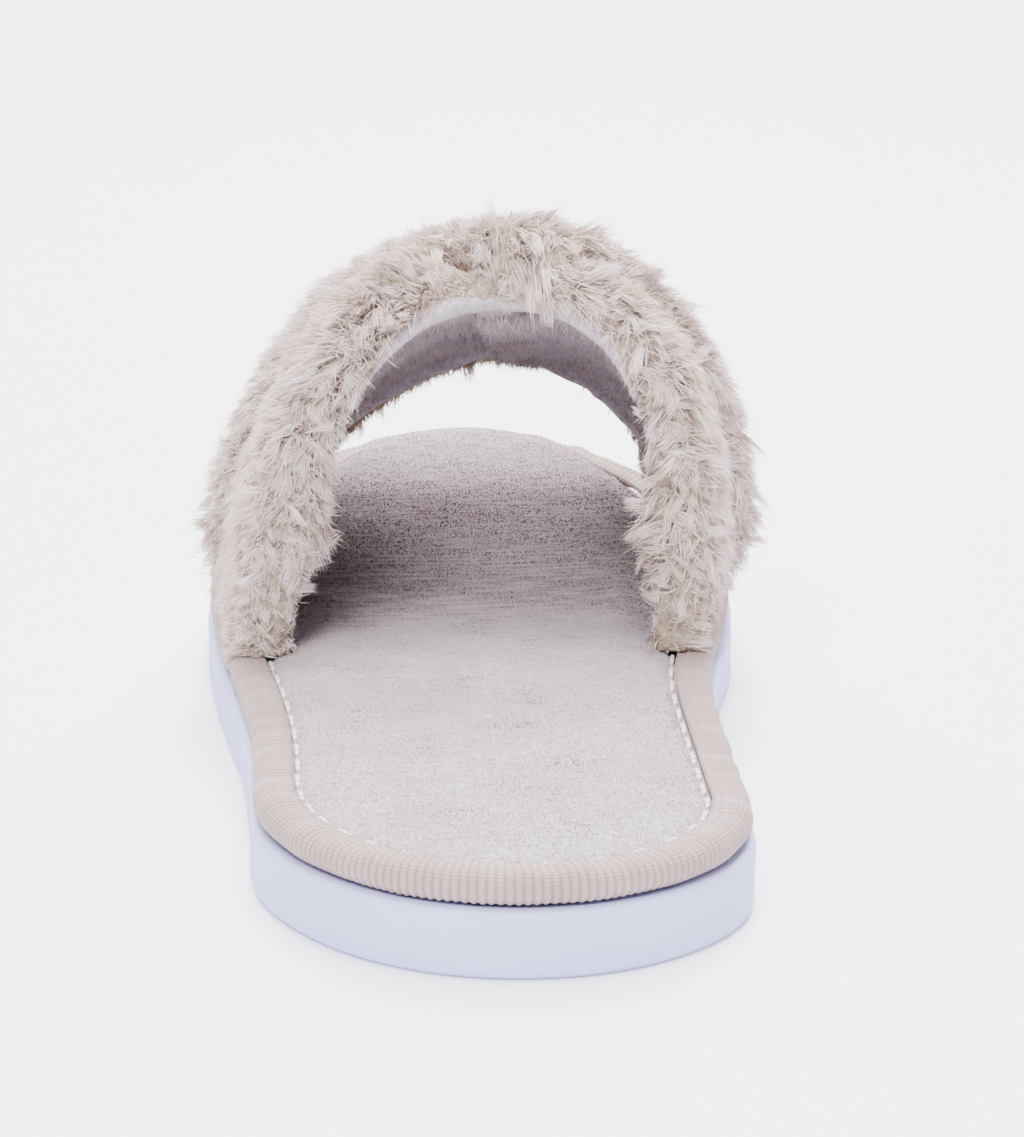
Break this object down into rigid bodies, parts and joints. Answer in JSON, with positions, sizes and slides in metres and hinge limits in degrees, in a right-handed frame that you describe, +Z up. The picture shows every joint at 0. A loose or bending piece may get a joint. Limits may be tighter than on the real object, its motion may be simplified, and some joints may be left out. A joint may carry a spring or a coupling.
{
  "type": "house slipper",
  "caption": "Open-toe, open-back fluffy house slipper: two crossing faux-fur straps over a padded velour footbed with a ribbed bound edge on a foam outsole",
  "frame": {"origin": "on the ground face of the outsole, half-way along its length and on the outline's spine", "axes": "+Y from heel to toe, +X to the inner (big toe) side of this left slipper, +Z up"},
  "size_m": [0.1029, 0.256, 0.0901],
  "materials": {
    "eva": "satin moulded foam",
    "board": "matt fibre board",
    "foam": "open-cell foam",
    "velour": "short brushed pile",
    "ribbed_tape": "ribbed knit",
    "thread": "spun thread",
    "plush": "short plush pile",
    "fur": "long clumped pile"
  },
  "bodies": {
    "root": {"outsole": "eva", "insole_board": "board", "insole_foam": "foam", "footbed_cover": "velour", "edge_binding": "ribbed_tape", "footbed_stitching": "thread", "over_strap_fur": "fur", "over_strap_foam": "foam", "over_strap_lining": "plush", "over_strap_rear_seam": "thread", "over_strap_front_seam": "thread", "under_strap_fur": "fur", "under_strap_foam": "foam", "under_strap_lining": "plush", "under_strap_rear_seam": "thread", "under_strap_front_seam": "thread"}
  },
  "joints": []
}
